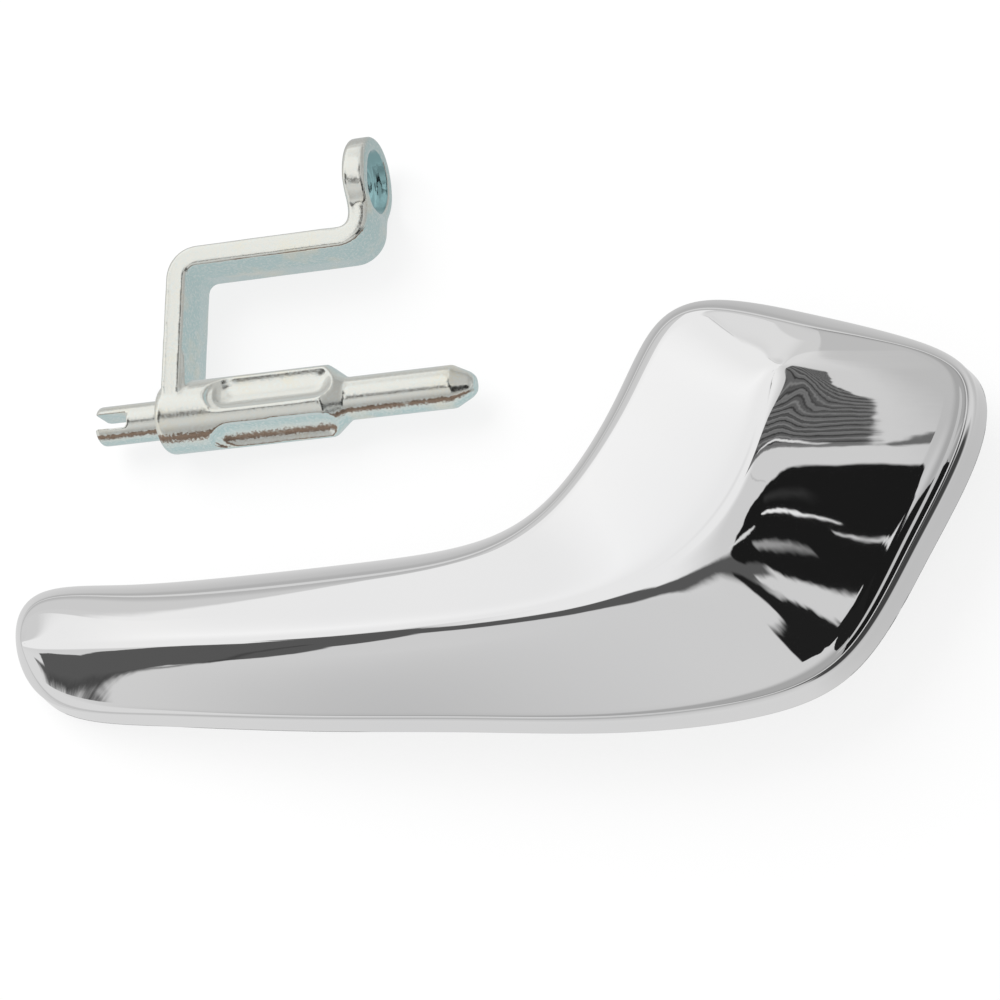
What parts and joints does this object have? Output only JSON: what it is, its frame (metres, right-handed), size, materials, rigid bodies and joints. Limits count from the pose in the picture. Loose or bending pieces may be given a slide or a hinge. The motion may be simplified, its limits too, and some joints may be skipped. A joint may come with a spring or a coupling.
{
  "type": "car interior door handle",
  "caption": "Moulded pull handle with a broad pad, ribbed hollow back and pivot socket, with its loose forked lever pin and cable eye lying beside it.",
  "frame": {"origin": "middle of the pivot ear's bore in the handle's back, on the pivot axis", "axes": "+Y along the pivot axis, out through the keyed boss; -X along the grip; +Z out of the chromed face. The handle lies on its back."},
  "size_m": [0.1421, 0.0902, 0.0225],
  "materials": {
    "chrome_plate": "polished",
    "zinc_plate": "satin"
  },
  "bodies": {
    "root": {"handle": "chrome_plate", "lever_pin": "zinc_plate"}
  },
  "joints": []
}
